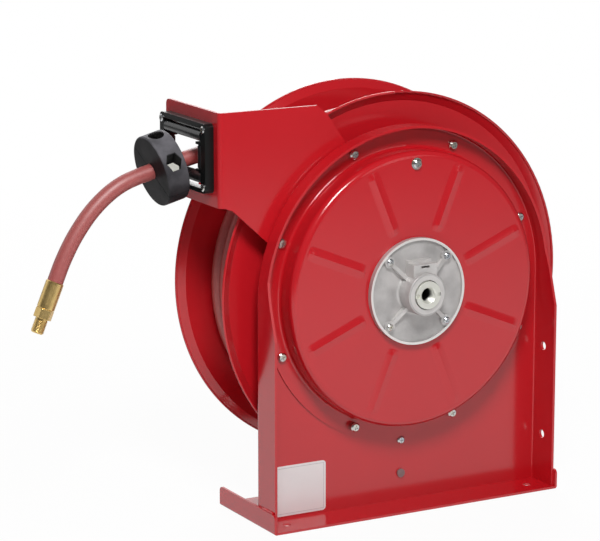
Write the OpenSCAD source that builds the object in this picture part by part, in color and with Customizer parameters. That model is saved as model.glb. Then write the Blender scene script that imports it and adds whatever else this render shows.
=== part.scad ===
// Spring-driven hose reel on a single sheet steel pedestal. The hose is wound on a drum between
// two sheaves, leaves over the top through a four-roller guide and hangs by a bolted-on stop.
// +X runs along the main plate, +Y away from the inlet side, +Z up. The origin is on the floor,
// straight below the reel's axis, in the plane of the main plate's front face.

/* [Spool] */
// Height of the reel's axis above the floor
axis_h = 235.5; // [215:0.5:260]
// Outer radius of the two sheaves
sheave_r = 202.5; // [195:0.5:210]
// Clear width between the two sheaves
spool_w = 94.5; // [90:0.5:110]
// Thickness of a sheave's sheet
sheave_t = 1.2; // [0.8:0.1:2]
// Height of the sheave's flared rim, measured along the axis
flare_h = 6.4; // [3:0.1:9]
// Width of the sheave's flared rim, measured across it
flare_w = 9.6; // [6:0.1:12]
// Outer radius of the drum that the hose is wound on
drum_r = 122; // [116:0.5:124]
// Thickness of the drum's sheet
drum_t = 1.5; // [1:0.1:3]
// Gap between the main plate and the front sheave
spool_gap = 20.1; // [19.5:0.1:24]
// Radius of the circle of long bolts that hold the spool together
tie_circle_r = 110; // [106:0.5:111]

/* [Hose] */
// Outer diameter of the hose
hose_d = 16.5; // [15:0.1:17]
// Layers of hose on the drum
hose_layers = 3; // [2:1:3]
// Turns in the outer layer
outer_turns = 4.25; // [3.25:0.25:4.5]

/* [Pedestal] */
// Half the width of the pedestal
frame_half_w = 171; // [170:0.5:180]
// Thickness of the pedestal's sheet
frame_t = 2.7; // [2:0.1:3.5]
// Outer radius of the pedestal's folded edge
fold_r = 4.2; // [3.6:0.1:6]
// Depth of the folded flange round the arch
arch_flange = 18.7; // [14:0.1:24]
// Depth of the folded flange down the two sides
side_flange = 37; // [30:0.5:40]
// Height at which the side flange starts to taper
taper_low = 202; // [180:1:210]
// Height at which the taper meets the arch's flange
taper_high = 260; // [245:1:280]
// Distance between the two wall bolts in the right flange
wall_bolt_pitch = 98; // [60:1:110]
// Diameter of the mounting holes
mount_hole_d = 9; // [7:0.5:11]

/* [Base] */
// Thickness of the base plate
base_t = 2.5; // [2:0.1:4]
// Reach of the base plate in front of the main plate
base_front = 40.5; // [40:0.5:60]
// Reach of the base plate behind the main plate
base_rear = 81.5; // [75:0.5:120]
// Height of the upturned lips at the ends of the base
lip_h = 21; // [12:0.5:25]
// Distance of the floor bolts from the ends of the base
floor_bolt_end = 25.5; // [20:0.5:40]
// Distance of the floor bolts from the long edges of the base
floor_bolt_edge = 20.5; // [14:0.5:24]

/* [Spring case] */
// Gap between the spring cover's bolting flange and the pedestal's edge
cover_gap = 6.3; // [5.5:0.1:8]
// Width of the spring cover's bolting flange
cover_flange_w = 18.7; // [17.5:0.1:20]
// Distance of the cover's bolts from the edge of its flange
bolt_inset = 8.8; // [8:0.1:9.3]
// Depth of the spring cover
cover_depth = 27.2; // [26.5:0.1:34]
// Thickness of the spring cover's sheet
cover_t = 1.8; // [1.2:0.1:2.4]
// Number of bolts that hold the cover
bolt_count = 8; // [8:8:8]
// Width of the power spring's strip
spring_w = 16.5; // [10:0.5:17]
// Thickness of the power spring's strip
spring_t = 0.9; // [0.6:0.1:1.4]
// Turns of the power spring
spring_turns = 9; // [5:1:10]

/* [Inlet hub] */
// Radius of the hub casting's flange
hub_r = 56.4; // [55:0.2:60]
// Radius of the hub casting's boss
boss_r = 22.5; // [20:0.1:25]
// Length of the boss in front of the cover
boss_len = 24.8; // [22:0.2:40]
// Radius of the circle of screws in the hub casting
hub_screw_r = 48.4; // [46:0.2:50]
// Radius of the threaded inlet bore
inlet_r = 7.6; // [6:0.1:8.2]
// Radius of the inlet body's collar
inlet_collar_r = 14.6; // [12:0.1:15]

/* [Shaft] */
// Diameter of the shaft
shaft_d = 25.4; // [24:0.1:26]
// Radius of the passage through the shaft
passage_r = 5.5; // [4:0.1:6]

/* [Hose guide] */
// Thickness of the guide arm's sheet
arm_t = 3; // [2:0.1:3.6]
// Distance of the guide's outlet face from the axis
guide_x = 212; // [209:0.5:222]
// Height of the middle of the roller guide above the axis
guide_z = 149.8; // [146:0.1:152]
// Distance of the middle of the roller guide behind the main plate
guide_y = 65.8; // [62:0.1:68]
// Width of the roller guide's frame
guide_w = 102.2; // [98:0.1:108]
// Height of the roller guide's frame
guide_h = 71; // [66:0.5:76]
// Depth of the roller guide's frame
guide_depth = 9.8; // [9:0.1:14]
// Radius of the two level rollers
roller_r = 6; // [5:0.1:6.4]
// Radius of the two upright rollers
upright_roller_r = 5; // [4:0.1:6]
// Radius of the roller pins
pin_r = 2.5; // [1.5:0.1:3]

/* [Hose stop] */
// Radius of the stop
stop_r = 37; // [30:0.5:40]
// Width of the stop
stop_w = 24; // [22:0.5:30]

/* [Hidden] */
$fn = 64;

red = [0.72, 0.09, 0.11];
zinc = [0.80, 0.81, 0.82];
cast = [0.66, 0.66, 0.65];
steel = [0.55, 0.56, 0.58];
bronze = [0.72, 0.52, 0.25];
brass = [0.80, 0.64, 0.25];
black = [0.10, 0.10, 0.11];
salmon = [0.74, 0.33, 0.31];

// How far a cutting shape runs past what it cuts, and the three clearances
over = 1;
running = 0.05;
seat_gap = 0.3;
snug = 0.1;

// Stations along the axis
plate_back = frame_t;
front_web = plate_back + spool_gap;
core_front = front_web + sheave_t;
core_rear = core_front + spool_w;
rear_web = core_rear + sheave_t;
cover_face = -cover_depth;
cover_inside = cover_face + cover_t;
boss_face = cover_face - boss_len;

// Fasteners: shank radius, head radius and head height, nut radius across the corners and height
small_r = 2;
small_head_r = 3.7;
small_head_h = 2.4;
small_nut_r = 3.9;
small_nut_h = 3;
medium_r = 3;
medium_head_r = 5;
medium_head_h = 3.4;
medium_nut_r = 5.6;
medium_nut_h = 4.6;
recess_w = 1;
recess_depth = 1.4;

shaft_r = shaft_d / 2;
bush_wall = 2.8;
bush_r = shaft_r + bush_wall;

cover_flange_r = frame_half_w - cover_gap;
cover_r = cover_flange_r - cover_flange_w;
bolt_circle_r = cover_flange_r - bolt_inset;

// A point drawn at the reel's axis: local x is to the right, local -y is up and local z is +Y
module at_axis() translate([0, 0, axis_h]) rotate([-90, 0, 0]) children();

// Places a part at radius r and angle a, counted anticlockwise from +X as seen from the front
module polar(r, a) rotate([0, 0, -a]) translate([r, 0, 0]) children();

module pin(z0, z1, r) translate([0, 0, z0]) cylinder(h = z1 - z0, r = r);

module tube(z0, z1, r_in, r_out) difference() {
    pin(z0, z1, r_out);
    pin(z0 - over, z1 + over, r_in);
}

module nut(z0, z1, r_bore, r_corner) difference() {
    translate([0, 0, z0]) cylinder(h = z1 - z0, r = r_corner, $fn = 6);
    pin(z0 - over, z1 + over, r_bore);
}

// Pan head with a cross recess, its crown towards -z, over a shank that ends at z1
module cross_screw(z0, z1, r, r_head, h_head) difference() {
    union() {
        pin(z0, z1, r);
        translate([0, 0, z0 - h_head * 0.6]) cylinder(h = h_head * 0.6, r = r_head);
        translate([0, 0, z0 - h_head]) cylinder(h = h_head * 0.4, r1 = r_head * 0.72, r2 = r_head);
    }
    for (a = [0, 90]) rotate([0, 0, a])
        translate([-r_head * 0.55, -recess_w / 2, z0 - h_head - over])
            cube([r_head * 1.1, recess_w, recess_depth + over]);
}

module small_screw(z0, z1) cross_screw(z0, z1, small_r, small_head_r, small_head_h);
module medium_screw(z0, z1) cross_screw(z0, z1, medium_r, medium_head_r, medium_head_h);
module small_nut(z0) nut(z0, z0 + small_nut_h, small_r, small_nut_r);
module medium_nut(z0) nut(z0, z0 + medium_nut_h, medium_r, medium_nut_r);

// Plate between y0 and y1 whose outline is drawn in X and Z
module upright(y0, y1) translate([0, y1, 0]) rotate([90, 0, 0]) linear_extrude(y1 - y0) children();

// Plate between x0 and x1 whose outline is drawn in Y and Z
module crosswise(x0, x1) translate([x0, 0, 0]) rotate([90, 0, 90]) linear_extrude(x1 - x0) children();

module rounded_rect(x0, y0, x1, y1, r) {
    translate([x0 + r, y0]) square([x1 - x0 - 2 * r, y1 - y0]);
    translate([x0, y0 + r]) square([x1 - x0, y1 - y0 - 2 * r]);
    for (x = [x0 + r, x1 - r], y = [y0 + r, y1 - r]) translate([x, y]) circle(r);
}

// ---- swept tubes ----

function unit(v) = v / norm(v);
function heading(p, i) =
    let (last = len(p) - 1,
        before = unit(p[max(i, 1)] - p[max(i, 1) - 1]),
        after = unit(p[min(i, last - 1) + 1] - p[min(i, last - 1)]))
    unit(before + after);
function ring_points(p, i, r, sides) =
    let (h = heading(p, i), s = unit(cross(h, [0, 1, 0])), b = cross(s, h))
    [for (k = [0:sides - 1]) p[i] + r * (cos(360 * k / sides) * s + sin(360 * k / sides) * b)];

// A tube of radius r along the points p, closed at both ends
module swept(p, r, sides) {
    last = (len(p) - 1) * sides;
    polyhedron(
        points = [for (i = [0:len(p) - 1]) each ring_points(p, i, r, sides)],
        faces = concat(
            [for (k = [1:sides - 2]) [0, k, k + 1]],
            [for (k = [1:sides - 2]) [last, last + k + 1, last + k]],
            [for (i = [0:len(p) - 2], k = [0:sides - 1], t = [0, 1])
                let (a = i * sides + k, b = i * sides + (k + 1) % sides)
                t == 0 ? [a, a + sides, b + sides] : [a, b + sides, b]]
        ));
}

// ---- base, pedestal, welds and label ----

base_mid_y = (base_rear - base_front) / 2;
base_half_w = frame_half_w + base_t;
lip_corner_r = 5;
floor_bolt_x = base_half_w - floor_bolt_end;
floor_bolt_y = (base_rear + base_front) / 2 - floor_bolt_edge;

module base_plate() color(red) difference() {
    intersection() {
        translate([0, base_rear, 0]) rotate([90, 0, 0]) linear_extrude(base_rear + base_front)
            difference() {
                union() {
                    translate([-base_half_w + base_t, 0]) square([2 * base_half_w - 2 * base_t, base_t]);
                    for (s = [-1, 1]) {
                        translate([s * (base_half_w - base_t / 2) - base_t / 2, base_t])
                            square([base_t, lip_h - base_t]);
                        translate([s * (base_half_w - base_t), base_t]) circle(base_t);
                    }
                }
                translate([-base_half_w + base_t, base_t])
                    square([2 * base_half_w - 2 * base_t, lip_h]);
            }
        crosswise(-base_half_w - over, base_half_w + over) {
            translate([-base_front, 0]) square([base_front + base_rear, lip_h - lip_corner_r]);
            rounded_rect(-base_front, 0, base_rear, lip_h, lip_corner_r);
        }
    }
    for (s = [-1, 1], t = [-1, 1])
        translate([s * floor_bolt_x, base_mid_y + t * floor_bolt_y, -over])
            cylinder(h = base_t + 2 * over, d = mount_hole_d);
}

// Half the section of the pedestal's sheet: the plate from y 0 to frame_t, the flange in front
module folded_section() {
    r_in = fold_r - frame_t;
    difference() {
        union() {
            translate([0, -side_flange]) square([frame_half_w - fold_r, side_flange + frame_t]);
            translate([0, -side_flange]) square([frame_half_w, side_flange - r_in]);
            translate([frame_half_w - fold_r, -r_in]) circle(fold_r);
        }
        translate([-over, -side_flange - over])
            square([frame_half_w - fold_r + over, side_flange + over]);
        translate([-over, -side_flange - over])
            square([frame_half_w - frame_t + over, side_flange + over - r_in]);
        translate([frame_half_w - fold_r, -r_in]) circle(r_in);
    }
}

pawl_pivot_r = cover_flange_r + 2.8;
post_drop = 36;
post_r = pawl_pivot_r + post_drop;
post_shank_r = 2.4;
post_head_r = 4.5;
post_head_h = 2.2;
post_len = 12;
wall_bolt_low = 56;
wall_bolt_y = -17;
housing_hole_r = bush_r + 3.2;
bearing_circle_r = 30.5;

module pedestal() color(red) difference() {
    union() {
        translate([0, 0, base_t]) linear_extrude(axis_h - base_t) {
            folded_section();
            mirror([1, 0]) folded_section();
        }
        at_axis() rotate([0, 0, 180]) rotate_extrude(angle = 180) folded_section();
    }
    crosswise(-frame_half_w - over, frame_half_w + over) polygon([
        [-side_flange - over, taper_low], [-side_flange, taper_low], [-arch_flange, taper_high],
        [-arch_flange, axis_h + frame_half_w + over], [-side_flange - over, axis_h + frame_half_w + over]
    ]);
    at_axis() {
        pin(-over, frame_t + over, housing_hole_r);
        for (k = [0:bolt_count - 1]) polar(bolt_circle_r, 22.5 + k * 360 / bolt_count)
            pin(-over, frame_t + over, medium_r + snug);
        for (k = [0:3]) polar(bearing_circle_r, 45 + 90 * k) pin(-over, frame_t + over, small_r + snug);
        polar(pawl_pivot_r, -90) pin(-over, frame_t + over, medium_r);
        polar(post_r, -90) pin(-over, frame_t + over, post_shank_r);
    }
    for (z = [0, wall_bolt_pitch]) translate([frame_half_w - 2 * frame_t, wall_bolt_y, wall_bolt_low + z])
        rotate([0, 90, 0]) cylinder(h = 3 * frame_t, d = mount_hole_d);
}

weld_r = 3;
weld_len = 44;
weld_inset = 20;

// A weld bead along +z, a quarter round in the quadrant where x and y are negative
module weld_bead(len) intersection() {
    cylinder(h = len, r = weld_r);
    translate([-weld_r, -weld_r, 0]) cube([weld_r, weld_r, len]);
}

module weld_beads() color(red) {
    for (x = [weld_inset - frame_half_w, -weld_len / 2, frame_half_w - weld_inset - weld_len])
        translate([x, frame_t, base_t]) rotate([0, 90, 0]) mirror([0, 1, 0]) weld_bead(weld_len);
    for (s = [0, 1]) mirror([s, 0, 0]) translate([frame_half_w, -side_flange, base_t])
        weld_bead(lip_h - base_t - lip_corner_r);
}

label_w = 60;
label_h = 54;
label_t = 0.4;
label_corner_r = 4;
label_inset = 20;
label_x = label_inset - frame_half_w;
label_z = 5;

module blank_label() color("white") upright(-label_t, 0)
    rounded_rect(label_x, label_z, label_x + label_w, label_z + label_h, label_corner_r);

// ---- spring case ----

cover_edge_r = 6.5;
cover_root_r = 3;
spigot_r = 29.8;
rib_in = hub_r + 8;
rib_out = cover_r - 8;
rib_half_w = 8.5;
rib_h = 1.3;
rib_sink = 0.04;
rib_hollow = 1.4;
rib_root = 1;
anchor_r = cover_r - 12.5;
anchor_shank_r = 3.4;
pawl_head_r = 4.2;
notch_clear = 0.8;

module cover_outside() {
    translate([0, cover_face]) square([cover_r - cover_edge_r, cover_depth]);
    translate([0, cover_face + cover_edge_r]) square([cover_r, cover_depth - cover_edge_r]);
    translate([cover_r - cover_edge_r, cover_face + cover_edge_r]) circle(cover_edge_r);
    translate([0, -cover_t]) square([cover_flange_r, cover_t]);
    difference() {
        translate([cover_r - over, -cover_t - cover_root_r]) square(cover_root_r + over);
        translate([cover_r + cover_root_r, -cover_t - cover_root_r]) circle(cover_root_r);
    }
}

module cover_cavity() {
    r = cover_r - cover_t;
    corner = cover_edge_r - cover_t;
    translate([0, cover_inside]) square([r - corner, cover_depth]);
    translate([0, cover_inside + corner]) square([r, cover_depth]);
    translate([r - corner, cover_inside + corner]) circle(corner);
}

// Lines along a rib, as shares of its half width, and lines across it: each with its place and
// its share of the height
rib_y = [-1, -0.8, -0.55, -0.28, 0, 0.28, 0.55, 0.8, 1];
rib_x = [
    [rib_in, 0], [rib_in + 3, 0.5], [rib_in + 7, 1],
    [rib_out - 7, 1], [rib_out - 3, 0.5], [rib_out, 0]
];
rib_rows = len(rib_x) - 1;
rib_side = len(rib_y) - 1;
rib_base = len(rib_x) * len(rib_y);
function rib_point(x, y) =
    [x[0], y * rib_half_w, rib_sink - x[1] * rib_h * pow(1 - abs(y), rib_hollow)];
function rib_index(i, j) = i * len(rib_y) + j;

// A pressed rib along +x that rises towards -z from a wide soft foot to a crisp crest
module rib() polyhedron(
    points = concat(
        [for (x = rib_x, y = rib_y) rib_point(x, y)],
        [for (p = [[rib_in, -1], [rib_out, -1], [rib_out, 1], [rib_in, 1]])
            [p[0], p[1] * rib_half_w, rib_root]]
    ),
    faces = concat(
        [for (i = [0:rib_rows - 1], j = [0:rib_side - 1], t = [0, 1])
            let (a = rib_index(i, j), b = rib_index(i + 1, j + 1))
            t == 0 ? [a, rib_index(i + 1, j), b] : [a, b, rib_index(i, j + 1)]],
        [
            [rib_base + 3, rib_base + 2, rib_base + 1, rib_base],
            concat([rib_base, rib_base + 1], [for (i = [rib_rows:-1:0]) rib_index(i, 0)]),
            concat([rib_base + 3], [for (i = [0:rib_rows]) rib_index(i, rib_side)], [rib_base + 2]),
            concat([rib_base + 3, rib_base], [for (j = [0:rib_side]) rib_index(0, j)]),
            concat([rib_base + 1, rib_base + 2], [for (j = [rib_side:-1:0]) rib_index(rib_rows, j)])
        ]
    )
);

// The stamped cover with its eight ribs, and a notch in its flange for the pawl's bolt
module spring_cover() color(red) at_axis() difference() {
    union() {
        rotate_extrude() cover_outside();
        for (k = [0:7]) polar(0, 22.5 + 45 * k) translate([0, 0, cover_face]) rib();
    }
    rotate_extrude() cover_cavity();
    pin(cover_face - over - rib_h, 0, spigot_r);
    polar(pawl_pivot_r, -90) pin(-cover_t - over, over, pawl_head_r + notch_clear);
    for (k = [0:bolt_count - 1]) polar(bolt_circle_r, 22.5 + k * 360 / bolt_count)
        pin(-cover_t - over, over, medium_r + snug);
    for (k = [0:3]) polar(hub_screw_r, 45 + 90 * k) pin(cover_face - over, cover_inside + over, small_r);
    polar(anchor_r, 90) pin(cover_face - over, cover_inside + over, anchor_shank_r);
}

spacer_h = 4;
spacer_wall = 1.8;
washer_t = 1.2;
washer_r = 6.2;

// The two lowest bolts stand on spacers; the four beside the guide arm pass through its ring
function bolt_seat(a) = a > 225 && a < 315 ? -cover_t - spacer_h : -cover_t;
function bolt_back(a) = a > 45 && a < 225 ? plate_back + arm_t : plate_back;

module cover_bolts() color(zinc) at_axis() for (k = [0:bolt_count - 1]) {
    a = 22.5 + k * 360 / bolt_count;
    polar(bolt_circle_r, a) medium_screw(bolt_seat(a), bolt_back(a) + medium_nut_h + over);
}

module cover_nuts() color(zinc) at_axis() for (k = [0:bolt_count - 1]) {
    a = 22.5 + k * 360 / bolt_count;
    polar(bolt_circle_r, a) medium_nut(bolt_back(a));
}

// The spacers under the two lowest bolts and the washer under the anchor screw
module washers() color(zinc) at_axis() {
    for (a = [247.5, 292.5]) polar(bolt_circle_r, a)
        tube(-cover_t - spacer_h, -cover_t, medium_r, medium_r + spacer_wall);
    polar(anchor_r, 90) tube(cover_face - washer_t, cover_face, anchor_shank_r, washer_r);
}

arbor_r = 21;
spring_rear = -4;
spring_front = spring_rear - spring_w;
spiral_r0 = arbor_r + seat_gap + spring_t / 2;
spiral_r1 = anchor_r + anchor_shank_r + snug + spring_t / 2;
spiral_step = 10;
spiral_n = spring_turns * 360 / spiral_step;
function spiral_point(i, side) =
    let (a = -90 - (spring_turns * 360 - i * spiral_step),
        r = spiral_r0 + (spiral_r1 - spiral_r0) * i / spiral_n + side * spring_t / 2)
    r * [cos(a), sin(a)];

// A flat strip wound from the arbor out to the anchor screw, with a hook round the screw
module power_spring() color(steel) at_axis() {
    translate([0, 0, spring_front]) linear_extrude(spring_w) {
        polygon(concat(
            [for (i = [0:spiral_n]) spiral_point(i, 1)],
            [for (i = [spiral_n:-1:0]) spiral_point(i, -1)]));
        translate([0, -anchor_r]) difference() {
            circle(anchor_shank_r + snug + spring_t);
            circle(anchor_shank_r + snug);
            translate([-2 * anchor_shank_r, -2 * anchor_shank_r]) square(2 * anchor_shank_r);
        }
    }
}

module anchor_screw() color(zinc) at_axis() polar(anchor_r, 90)
    cross_screw(cover_face - washer_t, spring_rear + over, anchor_shank_r, medium_head_r, medium_head_h);

// ---- inlet hub ----

hub_plate_t = 3;
hub_rim_h = 6;
hub_rim_w = 2.5;
boss_fillet = 3;
spigot_len = 2.3;
collar_depth = 5.5;
lug_w = 28;
lug_top = 31.4;
lug_len = 20;
lug_front = cover_face - lug_len;
step_top = 34;
step_len = 8.5;
step_front = cover_face - step_len;
slot_w = 10;
slot_h = 2.2;
slot_depth = 8;
slot_z = 27.6;
screw_boss_r = 6;
screw_boss_h = 6.4;
gusset_t = 4;
gusset_h = 11;
gusset_in = boss_r - 2;
gusset_out = hub_screw_r - 3;

module hub_section() {
    translate([0, cover_face - hub_plate_t]) square([hub_r, hub_plate_t]);
    translate([hub_r - hub_rim_w, cover_face - hub_rim_h]) square([hub_rim_w, hub_rim_h]);
    translate([0, boss_face + over]) square([boss_r, boss_len]);
    translate([0, boss_face]) square([boss_r - over, boss_len]);
    translate([boss_r - over, boss_face + over]) circle(over);
    translate([0, cover_face - over]) square([spigot_r - snug, spigot_len + over]);
    difference() {
        translate([0, cover_face - hub_plate_t - boss_fillet])
            square([boss_r + boss_fillet, boss_fillet]);
        translate([boss_r + boss_fillet, cover_face - hub_plate_t - boss_fillet]) circle(boss_fillet);
    }
}

// Cast hub: flange with a raised rim, four screw bosses with gussets, a boss and its slotted lug
module hub_casting() color(cast) at_axis() difference() {
    union() {
        rotate_extrude() hub_section();
        for (k = [0:3]) polar(0, 45 + 90 * k) {
            translate([hub_screw_r, 0, 0]) pin(cover_face - screw_boss_h, cover_face, screw_boss_r);
            rotate([90, 0, 0]) linear_extrude(gusset_t, center = true) polygon([
                [gusset_in, cover_face - over], [gusset_in, cover_face - gusset_h],
                [gusset_out, cover_face - screw_boss_h], [gusset_out, cover_face - over]
            ]);
        }
        translate([-lug_w / 2, -lug_top, lug_front]) cube([lug_w, lug_top, cover_face - lug_front]);
        translate([-lug_w / 2, -step_top, step_front]) cube([lug_w, step_top, cover_face - step_front]);
    }
    pin(boss_face - over, cover_face + spigot_len + over, bush_r);
    pin(boss_face - over, boss_face + collar_depth, inlet_collar_r);
    translate([-slot_w / 2, -slot_z - slot_h, lug_front - over]) cube([slot_w, slot_h, slot_depth + over]);
    for (k = [0:3]) polar(hub_screw_r, 45 + 90 * k)
        pin(cover_face - screw_boss_h - over, cover_face + over, small_r);
}

inlet_face = boss_face - 2;
collar_back = boss_face + collar_depth;
counterbore_r = 9.6;
stem_r = counterbore_r - snug;
shaft_front = collar_back + 1.5;
stem_back = shaft_front + 16;
thread_len = 13;
bore_chamfer = 1.5;
face_notch_w = 4;
face_notch_h = 2;
seal_wire_r = 0.95;
seal_y = [shaft_front + 6.5, shaft_front + 11.5];
seal_mid_r = stem_r + running - seal_wire_r;
seal_groove_w = 2.6;

// Fixed inlet: a collar with the threaded bore, and a stem inside the turning shaft
module inlet_body() color(steel) at_axis() difference() {
    union() {
        pin(inlet_face, collar_back, inlet_collar_r);
        pin(collar_back - over, stem_back, stem_r);
    }
    pin(inlet_face - over, inlet_face + thread_len, inlet_r);
    pin(inlet_face, stem_back + over, passage_r);
    translate([0, 0, inlet_face - snug])
        cylinder(h = bore_chamfer, r1 = inlet_r + bore_chamfer, r2 = inlet_r);
    for (s = [-1, 1]) translate([s * inlet_collar_r, 0, inlet_face])
        cube([2 * face_notch_w, face_notch_w, 2 * face_notch_h], center = true);
    for (y = seal_y) tube(y - seal_groove_w / 2, y + seal_groove_w / 2,
        seal_mid_r - seal_wire_r - running, stem_r + over);
}

module inlet_seals() color(black) at_axis() for (y = seal_y) translate([0, 0, y])
    rotate_extrude() translate([seal_mid_r, 0]) circle(seal_wire_r, $fn = 24);

bush_front = shaft_front + 3;
hub_back = cover_face + spigot_len;

// ---- bearing behind the main plate ----

housing_r = 38;
housing_flange_t = 3;
housing_len = 9;
housing_boss_r = housing_hole_r;
housing_back = plate_back + housing_len;
housing_seat = plate_back + housing_flange_t;

module bearing_housing() color(cast) at_axis() difference() {
    union() {
        pin(0, housing_back, housing_boss_r - snug);
        pin(plate_back, housing_seat, housing_r);
    }
    pin(-over, housing_back + over, bush_r);
    for (k = [0:3]) polar(bearing_circle_r, 45 + 90 * k)
        pin(plate_back - over, housing_seat + over, small_r + snug);
}

// The four screws in the hub casting and the four in the bearing housing, with their nuts
module small_screws() color(zinc) at_axis() for (k = [0:3]) {
    polar(hub_screw_r, 45 + 90 * k) small_screw(cover_face - screw_boss_h, cover_inside + small_nut_h);
    polar(bearing_circle_r, 45 + 90 * k) small_screw(0, housing_seat + small_nut_h);
}

module small_nuts() color(zinc) at_axis() for (k = [0:3]) {
    polar(hub_screw_r, 45 + 90 * k) small_nut(cover_inside);
    polar(bearing_circle_r, 45 + 90 * k) small_nut(housing_seat);
}

// The shaft's two plain bearings
module bushes() color(bronze) at_axis() {
    tube(bush_front, hub_back, shaft_r + running, bush_r);
    tube(0, housing_back, shaft_r + running, bush_r);
}

// ---- guide arm and roller guide ----

arm_back = plate_back + arm_t;
arm_ring_over = 1.8;
arm_ring_w = 21.5;
arm_ring_out = cover_flange_r + arm_ring_over;
arm_ring_in = arm_ring_out - arm_ring_w;
arm_ring_from = 56;
arm_ring_to = 214;
arm_fold_r = arm_t + 2;
arm_corner_r = 6;
arm_top = 197.2;
arm_low = 100.5;
guide_half_w = guide_w / 2;
guide_half_h = guide_h / 2;
guide_corner_r = 5;
guide_front = -guide_x - guide_depth;
guide_rear = guide_y + guide_half_w;
arm_margin = 5;
arm_rear = guide_rear + arm_margin;
side_wall = 9.5;
top_rail = 5.5;
low_rail = 4.5;
window_y0 = guide_y - guide_half_w + side_wall;
window_y1 = guide_y + guide_half_w - side_wall;
window_z0 = guide_z - guide_half_h + low_rail;
window_z1 = guide_z + guide_half_h - top_rail;
opening_gap = 1.5;

// The arm's outline, in X and in height above the axis, without its ring
arm_points = [
    [-guide_x + arm_fold_r, arm_low], [-197, 97], [-158, 61], [-140, 44], [-60, 140],
    [-67, 157], [-78, 172.5], [-88, 187.5], [-100, arm_top], [-guide_x + arm_fold_r, arm_top]
];

module arm_ring_sector() polygon(concat([[0, 0]], [
    for (k = [0:3]) let (a = arm_ring_from + (arm_ring_to - arm_ring_from) * k / 3)
        2 * arm_ring_out * [cos(a), sin(a)]
]));

module arm_outline() difference() {
    union() {
        polygon(arm_points);
        intersection() {
            circle(arm_ring_out);
            arm_ring_sector();
        }
    }
    circle(arm_ring_in);
    for (k = [1:4]) rotate(22.5 + 45 * k) translate([bolt_circle_r, 0]) circle(medium_r + snug);
}

screw_y = guide_half_w - side_wall / 2;
screw_z = 29.2;
screw_head_r = 3.9;
screw_head_h = 2.2;
screw_sink = 0.6;

// One folded sheet: the ring and arm behind the main plate, and the face that holds the rollers
module guide_arm() color(red) translate([0, 0, axis_h]) {
    upright(plate_back, arm_back) arm_outline();
    translate([-guide_x + arm_fold_r, plate_back + arm_fold_r, arm_low]) rotate([0, 0, 180])
        rotate_extrude(angle = 90) translate([arm_fold_r - arm_t, 0]) square([arm_t, arm_top - arm_low]);
    crosswise(-guide_x, -guide_x + arm_t) difference() {
        union() {
            translate([plate_back + arm_fold_r, arm_low]) square([2 * arm_corner_r, arm_top - arm_low]);
            rounded_rect(plate_back + arm_fold_r, arm_low, arm_rear, arm_top, arm_corner_r);
        }
        translate([window_y0 - opening_gap, guide_z - guide_half_h + opening_gap])
            square([window_y1 - window_y0 + 2 * opening_gap, guide_h - 2 * opening_gap]);
        for (y = [-screw_y, screw_y], z = [-screw_z, screw_z])
            translate([guide_y + y, guide_z + z]) circle(small_r + snug);
    }
}

// The four screws of the roller guide, seen from its inlet face: local z runs along +X
module at_guide_screws() translate([guide_front, guide_y, axis_h + guide_z])
    for (y = [-screw_y, screw_y], z = [-screw_z, screw_z])
        translate([0, y, z]) rotate([0, 90, 0]) children();

roller_x = -guide_x - 5;
top_z = window_z1 - 2 - roller_r;
bottom_z = window_z0 + 4.2 + roller_r;
roller_play = 0.5;
near_y = window_y0 + roller_play + upright_roller_r;
far_y = window_y1 - roller_play - upright_roller_r;
pin_inset = 0.8;
pin_reach = 7;
pin_y0 = window_y0 - pin_reach;
pin_y1 = guide_rear - pin_inset;
shelf_t = 2.5;
shelf_w = 2 * upright_roller_r + roller_play + 1;
shelf_gap = 0.4;
top_shelf = top_z - roller_r - shelf_gap;
low_shelf = bottom_z + roller_r + shelf_gap;

module level_pins(y1) for (z = [top_z, bottom_z])
    translate([roller_x, 0, axis_h + z]) rotate([-90, 0, 0]) pin(pin_y0, y1, pin_r);

module upright_pins(inset) for (y = [near_y, far_y])
    translate([roller_x, y, axis_h]) pin(low_shelf + inset, top_shelf - inset, pin_r);

// Moulded frame round the four rollers, with a shelf in each corner for the upright rollers
module roller_bracket() color(black) difference() {
    translate([0, 0, axis_h]) crosswise(guide_front, -guide_x) {
        difference() {
            rounded_rect(guide_y - guide_half_w, guide_z - guide_half_h, guide_y + guide_half_w,
                guide_z + guide_half_h, guide_corner_r);
            translate([window_y0, window_z0]) square([window_y1 - window_y0, window_z1 - window_z0]);
        }
        for (y = [window_y0 - over, window_y1 - shelf_w], z = [low_shelf, top_shelf - shelf_t])
            translate([y, z]) square([shelf_w + over, shelf_t]);
    }
    at_guide_screws() {
        pin(-over, guide_depth + over, small_r);
        pin(-over, screw_sink, screw_head_r + seat_gap);
    }
    level_pins(guide_rear + over);
    upright_pins(-over);
}

module bracket_screws() color(zinc) at_guide_screws()
    cross_screw(screw_sink, guide_depth + arm_t + small_nut_h + over, small_r, screw_head_r, screw_head_h);

module bracket_nuts() color(zinc) at_guide_screws() small_nut(guide_depth + arm_t);

module roller_pins() color(zinc) {
    level_pins(pin_y1);
    upright_pins(pin_inset);
}

module roller(len, r) difference() {
    union() {
        pin(0, len, r - 0.6);
        pin(1.2, len - 1.2, r);
    }
    pin(-over, len + over, pin_r + running);
}

module level_roller(z) color(black) translate([roller_x, window_y0 + roller_play, axis_h + z])
    rotate([-90, 0, 0]) roller(window_y1 - window_y0 - 2 * roller_play, roller_r);

module upright_roller(y) color(black)
    translate([roller_x, y, axis_h + low_shelf + shelf_t + seat_gap])
        roller(top_shelf - low_shelf - 2 * shelf_t - 2 * seat_gap, upright_roller_r);

module top_roller() level_roller(top_z);
module bottom_roller() level_roller(bottom_z);
module front_roller() upright_roller(near_y);
module rear_roller() upright_roller(far_y);

// ---- ratchet and pawl ----

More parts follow.
